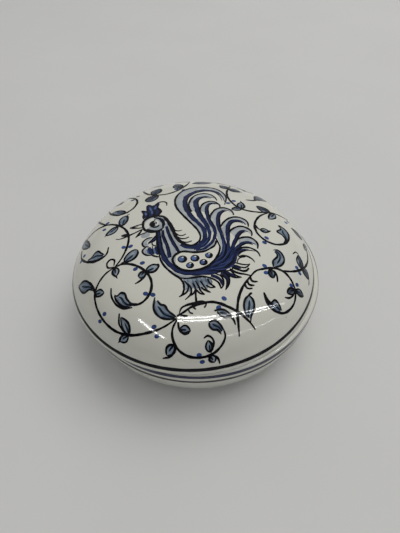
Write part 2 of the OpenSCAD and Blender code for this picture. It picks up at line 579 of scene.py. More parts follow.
def blade(edge_a, edge_b):
    """A leaf between two edges: wash inside with a darker middle, and both edges and a
    midrib drawn."""
    a, b = smooth(edge_a, 16), smooth(edge_b, 16)
    WASH.fill(a, b)
    middle = smooth([((p[0] + q[0]) / 2, (p[1] + q[1]) / 2) for p, q in zip(a, b)][4:16])
    WASH.stroke(middle, 1.1, (0.2, 0.8), load=1.3)
    LINES.stroke(smooth(a), PEN_W, (0.7, 0.4))
    LINES.stroke(smooth(b), PEN_W, (0.7, 0.4))
    LINES.stroke(middle, HAIR_W, (0.3, 0.9))


def leaf(base, tip, width, bend=0.0, tail=0.0, blunt=False, dark=False):
    """A leaf from base to tip, pointed or blunt, and light or dark. bend bows it to the
    left, and tail draws its tip on."""
    dx, dy = tip[0] - base[0], tip[1] - base[1]
    length = math.hypot(dx, dy)
    nx, ny = -dy / length, dx / length
    edges = [[], [], []]
    for i in range(13):
        t = i / 12
        bow = bend * math.sin(math.pi * t)
        lean, fullness = (1.1, 0.5) if blunt else (0.85, 0.85)
        full = width / 2 * math.sin(math.pi * t ** lean) ** fullness if 0 < t < 1 else 0.0
        for points, side in zip(edges, (1, -1, -0.15)):
            off = bow + side * full
            points.append((base[0] + dx * t + nx * off, base[1] + dy * t + ny * off))
    left, right, middle = edges
    WASH.fill(left, right, trim=0.06)
    WASH.stroke(smooth(middle[1:9]), width * 0.30, (0.5, 0.2), load=1.3)
    if dark:
        DARKS.stroke(smooth(middle), width * 0.62, (0.4, 0.3))
    if tail:
        right.append((tip[0] + dx / length * tail + nx * tail * 0.4,
                      tip[1] + dy / length * tail + ny * tail * 0.4))
    LINES.stroke(smooth(left), PEN_W * 0.8, (0.8, 0.5))
    LINES.stroke(smooth(right), PEN_W * 1.15, (0.8, 0.3))
    LINES.stroke(smooth(middle[:8]), HAIR_W, (1.0, 0.3))


def berries(*places):
    """A berry at each place."""
    for x, y in places:
        BERRIES.dot(x, y, 1.95, 1.5, PAINT.uniform(-30, 30))


def front_scroll():
    """The round scroll under the bird's perch."""
    vine([(-5.3, -38.6), (-6.9, -41.4), (-7.1, -44.6), (-5.6, -48.2), (-2.2, -50.8), (2.2, -51.5),
        (6.6, -50.4), (9.8, -47.6), (11.2, -44.4), (10.5, -41.8)])
    blade([(5.6, -39.6), (7.6, -39.1), (9.2, -40.2), (10.6, -42.2)],
        [(5.6, -39.8), (5.7, -41.0), (6.8, -42.1), (8.4, -42.2), (9.8, -43.6)])
    vine([(-5.0, -39.4), (-4.6, -41.8), (-3.0, -43.4), (-1.3, -43.2)], PEN_W)
    leaf((-4.5, -41.9), (-0.8, -42.4), 2.6, 0.3)
    leaf((5.8, -49.6), (5.2, -45.6), 2.4)
    vine([(3.7, -44.9), (5.0, -44.1), (6.5, -44.8), (7.2, -46.6), (6.2, -49.8)], PEN_W)
    leaf((6.2, -50.9), (7.7, -53.3), 2.5)
    vine([(6.6, -50.7), (8.3, -51.3), (9.2, -52.4), (9.7, -53.9)], PEN_W)
    leaf((-6.7, -46.9), (-9.7, -50.3), 3.3)
    vine([(-6.6, -47.2), (-7.0, -49.2), (-8.5, -50.8), (-11.4, -51.3)], PEN_W)
    berries((2.0, -50.6), (3.1, -53.1))


def left_scroll():
    """The large scroll to the left of the bird, with the arc that leads to the perch."""
    vine([(-28.4, -16.0), (-24.5, -15.5), (-20.0, -17.2), (-16.4, -20.2), (-14.3, -24.0), (-14.4, -28.0),
        (-16.6, -31.2), (-19.6, -32.3), (-22.4, -31.6)])
    blade([(-28.0, -27.4), (-26.8, -27.9), (-25.4, -27.0), (-23.8, -27.7), (-23.1, -29.6), (-21.4, -31.5),
        (-19.2, -31.9)],
        [(-28.0, -27.6), (-27.2, -29.5), (-25.8, -31.1), (-24.4, -32.1), (-22.0, -32.6)])
    vine([(-29.4, -24.4), (-29.2, -27.6), (-27.4, -30.8), (-24.4, -32.8), (-21.0, -33.0)], PEN_W)
    vine([(-28.4, -16.0), (-32.2, -18.1), (-35.2, -21.2), (-37.0, -25.2), (-36.0, -31.0), (-32.8, -36.4),
        (-28.0, -40.4), (-22.0, -42.3), (-15.0, -42.0), (-10.0, -40.7), (-5.4, -38.2)])
    blade([(-47.2, -17.6), (-43.5, -17.0), (-40.2, -18.8), (-37.6, -22.4)],
        [(-47.2, -17.8), (-45.4, -20.5), (-43.0, -22.1), (-40.0, -21.9), (-37.6, -23.2)])
    vine([(-41.0, -18.2), (-39.0, -20.0), (-37.4, -22.6), (-36.9, -25.2)])
    leaf((-36.8, -24.9), (-32.4, -25.4), 2.6, 0.3)
    vine([(-28.7, -16.0), (-31.2, -15.7), (-31.9, -13.6), (-30.6, -12.2), (-28.9, -12.9), (-28.9, -15.4)],
        PEN_W)
    leaf((-28.2, -16.4), (-27.6, -20.2), 2.6, 0.0, 1.0)
    vine([(-28.4, -16.0), (-26.4, -15.5), (-24.6, -14.2)], PEN_W)
    leaf((-24.8, -14.5), (-20.0, -10.2), 3.7, -0.2, blunt=True)
    leaf((-16.6, -20.3), (-18.7, -22.3), 2.3, blunt=True)
    vine([(-16.2, -20.8), (-16.8, -22.2), (-18.4, -23.6), (-20.2, -24.5)], PEN_W)
    leaf((-16.2, -20.0), (-12.0, -18.5), 3.0, blunt=True)
    vine([(-12.9, -20.0), (-11.8, -19.0), (-11.8, -18.0), (-12.4, -17.6)], PEN_W)
    leaf((-23.3, -41.9), (-25.7, -35.6), 2.8, -0.3)
    vine([(-26.2, -34.2), (-26.7, -37.6), (-25.4, -40.2), (-23.4, -42.0)], PEN_W)
    leaf((-23.6, -42.3), (-27.8, -43.7), 2.6, 0.2, 0.8)
    berries((-17.8, -16.4), (-20.3, -18.5), (-16.2, -28.7), (-13.6, -29.4), (-32.8, -33.1), (-35.6, -35.2),
        (-13.4, -40.4), (-12.6, -43.5))


def upper_left_scroll():
    """The scroll above the left one, round the sprig in the bird's beak."""
    vine([(-48.0, 5.6), (-45.0, 7.6), (-41.4, 8.8), (-37.4, 8.9), (-33.2, 7.9), (-29.4, 5.6), (-26.4, 2.5),
        (-24.5, -1.2), (-24.0, -5.0), (-24.6, -9.0), (-26.2, -13.0), (-28.4, -16.0)])
    vine([(-48.2, 1.0), (-47.0, -4.0), (-44.4, -7.2), (-41.2, -9.4), (-37.8, -10.7), (-34.6, -10.4),
        (-32.6, -8.8), (-32.2, -5.6)])
    blade([(-41.8, -8.2), (-39.7, -7.9), (-38.3, -6.3), (-36.8, -6.0), (-35.2, -7.6), (-33.6, -8.8)],
        [(-41.6, -8.8), (-38.8, -10.1), (-36.0, -10.4), (-33.6, -9.4)])
    leaf((-27.7, 5.0), (-27.4, 11.4), 3.8, 0.2, blunt=True)
    vine([(-27.0, 10.6), (-26.4, 11.6), (-25.5, 11.9)], HAIR_W)
    leaf((-29.6, 5.0), (-34.6, 1.4), 3.2, 0.3, 0.6)
    leaf((-42.2, -1.2), (-50.5, 9.6), 3.6, 0.6)
    berries((-25.7, -7.6), (-22.9, -7.8), (-44.8, -4.2), (-46.8, -6.0), (-35.2, 9.9), (-36.0, 5.9))


def back_left_scroll():
    """Behind the bird's head."""
    vine([(-47.0, 24.0), (-43.7, 19.4), (-40.6, 14.4), (-37.8, 10.9), (-35.2, 8.4)])
    vine([(-30.4, 31.6), (-27.4, 27.8), (-24.4, 24.2), (-23.3, 20.4), (-24.2, 16.4), (-26.8, 13.8),
        (-30.0, 13.4), (-33.0, 14.8), (-35.4, 17.6), (-38.4, 23.4)])
    leaf((-27.6, 13.6), (-34.4, 17.8), 3.4, 0.5)
    vine([(-23.0, 36.2), (-21.8, 31.4), (-19.6, 27.2), (-16.6, 24.8), (-13.1, 23.7), (-9.6, 24.1),
        (-6.4, 26.2), (-3.8, 29.6), (-1.6, 34.4), (-0.8, 39.4)])
    leaf((-14.4, 23.4), (-19.2, 19.4), 4.6, blunt=True, dark=True)
    leaf((-16.4, 25.0), (-14.2, 31.4), 4.6, 0.3, dark=True)
    leaf((-32.0, 24.6), (-33.8, 29.2), 3.0, dark=True)
    leaf((-5.4, 28.6), (-6.8, 35.2), 4.2, dark=True)
    berries((-6.6, 28.0), (-3.4, 26.8), (-24.0, 27.2), (-26.0, 24.1))


def right_scroll():
    """The scroll to the right of the perch and the vine that climbs from it."""
    vine([(20.8, -22.6), (23.0, -20.2), (25.8, -19.0), (29.0, -18.1), (32.2, -18.0), (35.2, -19.1),
        (38.0, -21.8), (39.6, -25.4), (39.2, -29.4), (37.0, -32.5), (34.0, -34.3), (30.8, -34.4),
        (28.0, -33.2), (26.0, -31.0), (25.4, -28.2)])
    blade([(25.5, -28.4), (26.8, -30.6), (28.2, -31.5), (29.8, -30.3), (31.6, -31.6), (33.0, -33.6)],
        [(25.5, -28.6), (26.2, -31.2), (28.0, -33.2), (30.6, -34.2), (33.0, -34.2)])
    vine([(33.4, -18.3), (37.0, -17.6), (40.5, -16.2), (44.0, -14.0), (47.0, -11.0), (49.2, -7.4),
        (50.4, -3.6), (50.9, 0.0), (51.4, 3.6)])
    blade([(30.2, -17.6), (33.4, -16.0), (35.0, -13.2), (34.3, -10.4), (32.6, -9.2), (30.8, -9.6)],
        [(30.0, -17.4), (30.1, -14.8), (31.9, -12.8), (32.2, -11.4), (31.3, -10.2)])
    leaf((28.6, -18.8), (29.5, -22.2), 2.5, dark=True)
    vine([(28.9, -18.6), (30.4, -19.6), (31.1, -21.4), (31.1, -23.4)], PEN_W)
    leaf((39.2, -24.8), (35.2, -26.6), 2.4, -0.2, dark=True)
    vine([(39.2, -25.2), (37.9, -27.2), (36.2, -28.3), (34.2, -28.5)], PEN_W)
    leaf((39.6, -24.4), (44.8, -25.3), 2.4, 0.2, dark=True)
    leaf((43.8, -14.0), (42.8, -7.8), 3.4, 0.3, dark=True)
    vine([(42.9, -7.4), (41.4, -7.0), (39.6, -8.8)], HAIR_W)
    leaf((44.0, -13.6), (49.0, -16.4), 3.2, 0.4, dark=True)
    vine([(48.2, -15.4), (48.9, -17.0), (48.7, -19.2)], HAIR_W)
    vine([(20.8, -22.6), (17.8, -26.8), (16.0, -31.2), (15.4, -35.8), (15.8, -40.2), (16.3, -44.2)])
    vine([(20.8, -22.8), (20.9, -24.0), (21.8, -24.6), (23.3, -24.4)], PEN_W)
    vine([(19.7, -24.2), (19.7, -25.4), (20.5, -26.1), (22.0, -26.0)], PEN_W)
    vine([(18.6, -25.6), (18.8, -26.8), (19.7, -27.5), (21.2, -27.2)], PEN_W)
    blade([(19.7, -29.9), (18.3, -31.5), (17.8, -33.8), (18.2, -36.0), (18.9, -37.4)],
        [(19.7, -29.9), (21.1, -31.3), (21.6, -33.4), (21.2, -35.4), (20.4, -37.4), (20.4, -39.0)])
    vine([(19.6, -29.9), (20.2, -29.4), (20.9, -28.9)], PEN_W)
    berries((26.5, -17.6), (26.8, -20.4), (37.4, -23.2), (40.5, -22.0), (40.9, -14.6), (42.4, -16.5))


def upper_right_scroll():
    """The small scroll beside the tail's tips."""
    vine([(32.1, 12.8), (28.2, 9.4), (25.8, 5.6), (24.7, 1.8), (25.2, -1.9), (27.2, -4.6), (29.6, -6.0),
        (32.5, -6.4), (35.8, -5.2), (38.4, -2.6), (39.6, 0.8), (39.0, 3.4), (37.2, 4.8)])
    blade([(35.6, 5.6), (38.6, 3.8), (39.4, 0.6), (38.2, -2.6), (36.0, -4.8)],
        [(35.4, 5.4), (36.2, 3.4), (34.0, 1.2), (36.2, -0.2), (37.2, -2.2), (36.0, -4.6)])
    leaf((26.9, 0.0), (30.4, 0.2), 2.2, 0.0, 1.0)
    vine([(25.1, 2.6), (25.8, 0.8), (27.2, -0.2)], PEN_W)
    berries((28.9, -3.9), (27.7, -6.6))


def back_right_scroll():
    """Behind the tail."""
    vine([(18.6, 37.0), (16.6, 30.0), (15.4, 25.0), (15.5, 20.2), (16.9, 15.8), (19.4, 12.5), (22.2, 11.4),
        (25.2, 11.3), (28.6, 11.9), (31.8, 12.9), (35.0, 14.0), (38.8, 14.2), (43.0, 14.8)])
    leaf((20.6, 12.3), (16.2, 10.6), 2.2)
    leaf((20.4, 12.2), (21.0, 17.2), 3.0, 0.2, 1.2)
    leaf((33.0, 13.8), (27.4, 16.2), 3.8, 0.4, dark=True)
    leaf((35.2, 13.6), (31.6, 8.2), 2.8, 0.3)
    leaf((35.0, 29.6), (27.6, 21.8), 4.4, -0.6, dark=True)
    vine([(29.4, 23.0), (26.6, 20.9), (23.4, 20.3)], PEN_W)
    leaf((16.4, 29.4), (13.0, 33.6), 3.6, dark=True)
    leaf((16.6, 29.6), (21.8, 28.0), 3.6, 0.0, 1.0, dark=True)
    leaf((49.4, 5.6), (42.8, 8.2), 3.4, dark=True)
    leaf((51.2, 3.4), (48.6, -1.4), 2.6)
    berries((17.8, 17.6), (15.2, 15.2), (42.1, 12.6), (40.4, 10.4))


def hidden_back():
    """The unseen back, invented: the front's round scroll twice more, a small scroll, and
    vines that join the loose ends."""
    for angle in (150, 192):
        turn_vines(angle)
        front_scroll()
    turn_vines(0)
    vine([(-0.9, 38.4), (-1.7, 39.4), (-2.9, 39.0)])
    vine([(18.6, 37.0), (19.9, 38.5), (22.1, 37.5), (23.5, 34.4), (23.9, 31.0)])
    vine([(35.0, 29.6), (33.8, 32.8), (31.4, 34.6), (28.5, 35.2)], PEN_W)
    vine([(9.2, 37.9), (12.4, 40.4), (16.4, 40.6), (19.9, 38.5)], PEN_W)
    vine([(-23.0, 36.2), (-23.1, 38.8), (-22.1, 40.8), (-20.3, 42.4)])
    vine([(-30.4, 31.6), (-31.4, 35.0), (-34.4, 37.2), (-38.2, 36.2), (-40.2, 33.0), (-39.2, 29.8),
        (-36.2, 29.2)])
    vine([(-38.4, 23.4), (-39.5, 25.6), (-40.2, 28.0), (-40.4, 31.4)])
    vine([(-47.0, 24.0), (-46.7, 27.4), (-44.6, 30.6), (-40.5, 32.8)])
    leaf((-38.4, 36.0), (-34.6, 41.0), 3.2, 0.3, 0.8)
    leaf((-36.4, 29.6), (-35.2, 34.0), 2.6)
    leaf((9.4, 38.0), (0.6, 34.6), 4.6, dark=True)


def turn_vines(angle):
    """Turns what is drawn next with the vines' coats about the middle, in degrees."""
    for coat in (LINES, WASH, DARKS, BERRIES):
        coat.turn = angle


def perch():
    """The twig that the bird stands on, with its two leaves."""
    vine([(-5.3, -37.4), (-3.1, -36.3), (-0.8, -34.8), (1.6, -33.8), (4.0, -33.2), (6.7, -32.9),
        (9.1, -33.3), (11.6, -34.2), (14.2, -35.3), (16.7, -36.6), (18.0, -37.6), (20.2, -39.3),
        (22.3, -41.5)])
    blade([(-12.0, -31.6), (-10.9, -33.1), (-9.4, -33.6), (-8.2, -35.5), (-5.4, -37.8)],
        [(-12.9, -30.4), (-13.3, -34.3), (-11.7, -37.0), (-8.9, -38.2), (-5.4, -38.2)])
    blade([(7.4, -35.9), (9.9, -35.4), (12.0, -36.2), (13.6, -38.2)],
        [(8.4, -36.2), (9.4, -37.4), (11.0, -38.0), (12.8, -38.0)])
    vine([(12.8, -37.6), (14.0, -38.6), (14.8, -40.4)], PEN_W)
    berries((8.9, -34.8), (10.9, -31.6))


def bird_line(points, width=PEN_W, ends=(0.7, 0.5)):
    """A black line of the bird."""
    BIRD_LINES.stroke(smooth(points), width, ends)


def bird_blue(points, width, ends=(0.5, 0.3)):
    """A blue stroke of the bird."""
    BIRD_BLUE.stroke(smooth(points), width, ends)


def beside(points, gap):
    """The curve gap mm to the right of a smooth curve through the points. A negative gap
    puts it to the left."""
    path = smooth(points)
    return [(x - nx * gap, y - ny * gap) for (x, y), (nx, ny) in zip(path, sides_of(path))]


def feather(spine, width, outline=(), start=0):
    """A tail feather: a blue stroke with a dark inner edge. With an outline it has a dark
    outer edge too, and pale wash between that and the stroke's part from point start on."""
    if outline:
        between(BIRD_WASH, spine[start:], outline, 24)
        bird_line(outline, 0.9)
    bird_blue(spine, width, (0.9, 0.3))
    inner = beside(spine, max(width) * 0.42)
    BIRD_LINES.stroke(inner[len(inner) // 3:-2], 0.6, (0.2, 0.4))


def bird_head():
    """Ringed head with a round eye, an open beak that holds a sprig, comb and wattles."""
    BIRD_WASH.dot(-14.4, 2.2, 8.8, 8.8)
    between(PALE, spiral(-14.5, 2.3, 3.8, 3.8, 85, 235, 8), spiral(-14.3, 2.3, 2.0, 2.0, 85, 235, 8), 14)
    BIRD_LINES.stroke(smooth([(-18.9, 5.4), (-18.9, 3.0), (-18.2, 0.6), (-16.6, -1.2), (-14.2, -2.1),
        (-12.0, -1.9), (-10.4, -0.2)]), (1.0, 1.4, 1.7, 1.4, 0.9), (0.7, 0.5))
    bird_line([(-18.9, 4.4), (-17.6, 6.2), (-15.4, 7.0), (-13.0, 6.9)], 1.3, (0.9, 0.9))
    bird_blue([(-14.2, 5.8), (-12.4, 5.0), (-11.2, 3.4), (-10.6, 1.4), (-11.0, -0.4)], (0.8, 1.6, 1.4))
    bird_line([(-14.8, 6.2), (-12.8, 5.3), (-11.5, 3.7), (-10.8, 1.6), (-10.7, -0.4)], (0.7, 1.0, 0.7))
    # Eye: a dark oval, which hides the blue one below it, with a near-white crescent at
    # its right and a black stroke on that
    BIRD_LINES.dot(-15.2, 2.6, 3.6, 4.2)
    BIRD_BLUE.dot(-15.5, 2.8, 1.7, 2.2)
    between(PALE_TOP, spiral(-14.6, 2.5, 2.0, 2.0, 80, -60, 7), spiral(-14.9, 2.5, 0.7, 1.2, 70, -50, 7),
        12)
    EYE_TOP.stroke(smooth([(-14.0, 3.3), (-13.5, 2.6), (-13.7, 1.7)]), 0.6, (0.5, 0.4))
    bird_line([(-15.4, 0.8), (-14.2, 0.3), (-13.0, 0.4), (-12.3, 1.2)], (0.7, 0.9, 0.8))
    bird_line([(-16.6, 3.6), (-15.2, 4.7), (-13.8, 4.7)], 0.5)
    # Beak and sprig
    bird_line([(-24.2, 2.3), (-21.6, 2.9), (-18.9, 3.2)], 0.6)
    bird_line([(-24.2, 2.2), (-22.0, 1.4), (-18.8, 1.0)], 0.6)
    bird_line([(-24.0, 2.3), (-22.4, 2.1), (-20.8, 2.2)], 0.5, (1.0, 0.3))
    bird_line([(-18.9, 0.2), (-19.6, -1.4), (-21.3, -3.8)], (0.6, 0.9, 0.5))
    bird_line([(-21.3, -3.8), (-19.4, -2.7), (-16.4, -1.8)], 0.6)
    BIRD_WASH.dot(-17.4, -3.6, 3.6, 2.3, 10)
    bird_line([(-18.8, 0.2), (-21.4, -1.0), (-23.8, -1.9), (-26.0, -2.6), (-28.2, -2.8), (-29.6, -2.2)],
        (0.7, 0.8, 0.5))
    LINES.dot(-25.6, -1.4, 3.8, 1.5, -8)
    # Comb: pointed lobes, blue inside, with a curled plume
    between(BIRD_BLUE, [(-18.8, 6.0), (-19.2, 8.4), (-18.6, 10.6), (-17.7, 12.6), (-17.3, 14.4),
        (-16.2, 15.0), (-14.9, 15.2)],
        [(-13.0, 7.0), (-12.5, 8.4), (-12.2, 9.8), (-12.9, 11.3), (-13.6, 12.7), (-13.5, 14.4),
        (-13.8, 15.6)], 20)
    for base, tip, width in (((-18.4, 9.8), (-20.3, 12.3), 1.8), ((-17.2, 12.4), (-18.1, 16.1), 2.2),
                             ((-14.4, 12.8), (-13.8, 16.6), 1.7), ((-16.0, 12.6), (-15.6, 15.2), 1.8)):
        middle = ((base[0] + tip[0]) / 2 + 0.15, (base[1] + tip[1]) / 2)
        bird_blue([base, middle, tip], width, (1.0, 0.1))
    for x, y, length, angle in ((-16.6, 12.4, 3.2, 110), (-14.6, 13.0, 2.6, 80),
                                (-18.3, 9.4, 2.0, 105), (-15.8, 9.8, 2.4, 95)):
        DOTS.dot(x, y, length, 0.9, angle)
    bird_line([(-18.4, 5.4), (-19.4, 7.6), (-19.3, 9.8), (-20.3, 12.3), (-18.4, 11.2), (-17.9, 13.4),
        (-18.1, 16.2)], 0.6)
    bird_line([(-18.1, 16.2), (-16.4, 14.9), (-15.7, 13.6), (-15.0, 15.2), (-13.8, 16.8)], 0.6)
    bird_line([(-14.4, 14.6), (-13.8, 16.6), (-12.5, 17.1), (-11.0, 16.7), (-10.1, 15.4), (-10.0, 13.4)],
        (0.9, 0.8, 0.7, 0.6), (0.6, 0.5))
    bird_line([(-13.4, 14.8), (-13.7, 12.7), (-12.8, 11.3), (-12.1, 9.8), (-12.6, 8.2), (-13.0, 7.0)],
        (0.6, 1.1, 0.9))
    bird_line([(-17.4, 6.6), (-17.2, 8.6), (-17.6, 10.6)], 0.6)
    bird_line([(-15.0, 7.0), (-14.6, 9.4), (-15.2, 11.8)], 0.9, (1.0, 0.2))
    # Wattles: two round lobes, pale outside and dark blue by the neck
    for rim in ([(-14.6, -5.2), (-16.5, -5.3), (-18.0, -6.5), (-18.3, -7.9), (-17.5, -9.2),
                 (-15.8, -9.5)],
                [(-16.6, -9.4), (-17.9, -10.5), (-17.9, -11.9), (-16.5, -13.2), (-14.5, -13.6)]):
        middle = [((x - 15.0) / 2, (y + sum(q for _, q in rim) / len(rim)) / 2) for x, y in rim]
        between(BIRD_WASH, rim, middle, 12)
        bird_line(rim, 0.7)
    bird_blue([(-13.0, -4.4), (-14.0, -6.4), (-16.0, -8.0)], (1.6, 1.6, 0.9))
    bird_line([(-13.2, -4.2), (-14.6, -6.2), (-16.2, -7.9)], 0.6)
    bird_blue([(-15.6, -9.8), (-15.2, -11.4), (-14.0, -13.2)], (1.4, 2.0, 1.4), (0.8, 0.8))
    bird_blue([(-12.9, -9.6), (-12.6, -11.6), (-12.0, -13.6)], (1.4, 1.9, 1.4), (0.8, 0.8))
    bird_line(spiral(-13.3, -8.0, 1.3, 1.3, 70, 300, 7), 0.5)
    DOTS.dot(-13.5, -11.8, 2.8, 0.7, 105)
    DOTS.dot(-16.0, -11.8, 2.2, 0.6, 110)
    bird_line([(-14.4, -9.4), (-14.2, -11.4), (-13.6, -13.4)], 0.5)
    bird_line([(-14.4, -13.5), (-13.0, -14.3), (-11.6, -14.7)], 0.7)


def bird_body():
    """Neck with blue stripes, white wing with dots, and the blue band under it."""
    between(BIRD_WASH, [(-12.2, -2.0), (-11.8, -6.0), (-11.2, -12.0), (-9.2, -17.4), (-5.0, -21.4)],
        [(-9.6, 3.4), (-7.6, -2.2), (-5.6, -7.4), (-5.6, -13.4), (-5.8, -18.8)], 30)
    between(BIRD_WASH, [(-6.0, -7.4), (-3.8, -10.0), (-1.0, -11.4), (2.4, -11.6), (6.0, -9.6),
        (8.9, -6.6)],
        [(-5.6, -13.4), (-4.0, -13.3), (-1.0, -13.3), (2.9, -13.5), (6.2, -12.2), (9.3, -8.8)], 24)
    between(BIRD_WASH, [(-11.0, -14.8), (-9.4, -18.2), (-6.4, -21.4), (-2.0, -23.2), (3.4, -23.2)],
        [(-11.4, -15.0), (-9.8, -18.6), (-6.4, -22.4), (-2.0, -24.1), (3.4, -23.7)], 24)
    for path, width in (
            ([(-11.0, -1.9), (-10.6, -5.0), (-9.4, -8.6), (-8.5, -11.6), (-7.8, -15.4)],
             (1.0, 1.2, 1.3, 1.6)),
            ([(-9.6, 0.0), (-8.6, -4.0), (-7.4, -7.2), (-6.1, -10.2), (-4.5, -13.5)],
             (1.0, 1.2, 1.2)),
            ([(-12.3, -2.4), (-12.0, -5.6), (-11.5, -9.0), (-10.8, -12.4), (-9.3, -16.2),
              (-7.2, -19.0), (-4.4, -21.2), (-1.0, -22.2), (3.4, -22.0), (7.6, -20.4)],
             (1.5, 1.8, 1.9, 1.8, 2.0, 2.6))):
        bird_blue(path, width, (0.8, 0.8))
        BIRD_LINES.stroke(beside(path[:5], -0.5), 0.45, (0.6, 0.2))
    # Solid blue where the tail feathers gather
    between(BIRD_BLUE, [(2.6, -23.0), (7.4, -22.8), (12.0, -20.8), (15.2, -18.2), (16.4, -15.2),
        (16.0, -12.6)],
        [(2.6, -21.2), (6.6, -19.0), (9.6, -15.4), (10.9, -12.4), (11.2, -10.6), (11.6, -8.6)], 30)
    for start, end in (((6.0, -21.6), (15.6, -16.6)), ((7.4, -20.0), (14.6, -12.2)),
                       ((9.0, -18.0), (13.0, -9.6)), ((10.6, -15.0), (12.2, -8.0)),
                       ((8.6, -21.6), (16.2, -18.4)), ((10.0, -19.6), (15.8, -14.4))):
        middle = ((start[0] + end[0]) / 2 + 0.9, (start[1] + end[1]) / 2 - 0.9)
        bird_line([start, middle, end], 0.5, (0.3, 0.3))
        DOTS.stroke(smooth([(start[0] - 0.6, start[1] + 0.7), (middle[0] - 0.6, middle[1] + 0.7),
            (end[0] - 0.7, end[1] + 0.4)]), 0.3, (0.2, 0.2), load=1.2)
    # Wing
    bird_line([(9.2, -8.0), (8.4, -10.4), (6.6, -12.0), (4.2, -13.3), (0.8, -13.6), (-2.6, -13.1),
        (-4.6, -13.5), (-6.2, -14.8), (-6.8, -16.4), (-6.2, -18.2), (-4.4, -20.2), (-1.6, -21.2),
        (1.8, -21.0), (5.0, -19.9), (7.8, -17.4), (9.6, -14.4), (10.3, -11.4), (9.9, -9.6), (9.0, -6.9)],
        0.95)
    for x, y, size in ((-3.3, -16.4, 3.5), (1.2, -16.2, 3.3), (6.2, -15.0, 2.9),
                       (-0.6, -19.1, 2.9), (4.2, -17.9, 3.0)):
        BIRD_LINES.dot(x, y, size, size * 0.88)
        DOTS.dot(x - 0.35, y + 0.05, size - 1.5, size * 0.88 - 1.0)
        PALE_TOP.dot(x + 0.1, y + 0.7, 0.8, 0.5, 20)
    # Outlines of neck, back and belly
    bird_line([(-13.2, 7.0), (-10.9, 5.9), (-9.3, 3.4), (-7.9, 0.4), (-6.9, -2.4), (-6.1, -5.0),
        (-4.7, -7.7), (-2.6, -9.7), (-0.4, -10.5), (1.4, -9.9), (2.9, -8.2), (3.3, -6.0)],
        (1.2, 1.6, 1.5, 1.3, 1.0, 0.8))
    bird_line([(-13.2, -2.2), (-12.9, -5.4), (-12.5, -9.0), (-11.9, -12.4), (-11.4, -14.8)], 0.9)
    bird_line([(-11.5, -14.6), (-10.9, -16.6), (-9.6, -18.9), (-8.0, -20.8), (-6.2, -22.5), (-4.2, -24.0),
        (-3.0, -26.0), (-2.8, -28.2), (-3.4, -30.0), (-4.5, -30.9)], 0.8)
    bird_line([(-4.6, -23.8), (-2.0, -24.2), (0.4, -24.0), (3.4, -23.6), (6.0, -24.0), (8.2, -25.0),
        (9.4, -26.2), (10.0, -28.1)], (0.6, 0.8, 0.7, 0.9))
    # Hair strokes down the back of the neck
    for points in ([(-6.8, -1.8), (-5.6, -2.9), (-4.2, -3.0), (-3.6, -2.6)],
                   [(-6.2, -3.6), (-4.8, -5.2), (-3.2, -5.5), (-2.0, -4.8)],
                   [(-5.5, -5.6), (-4.0, -6.9), (-2.4, -7.1), (-0.9, -6.4)],
                   [(-4.2, -7.9), (-2.6, -8.8), (-1.2, -8.9), (0.1, -8.3)]):
        bird_line(points, 0.5, (0.9, 0.7))


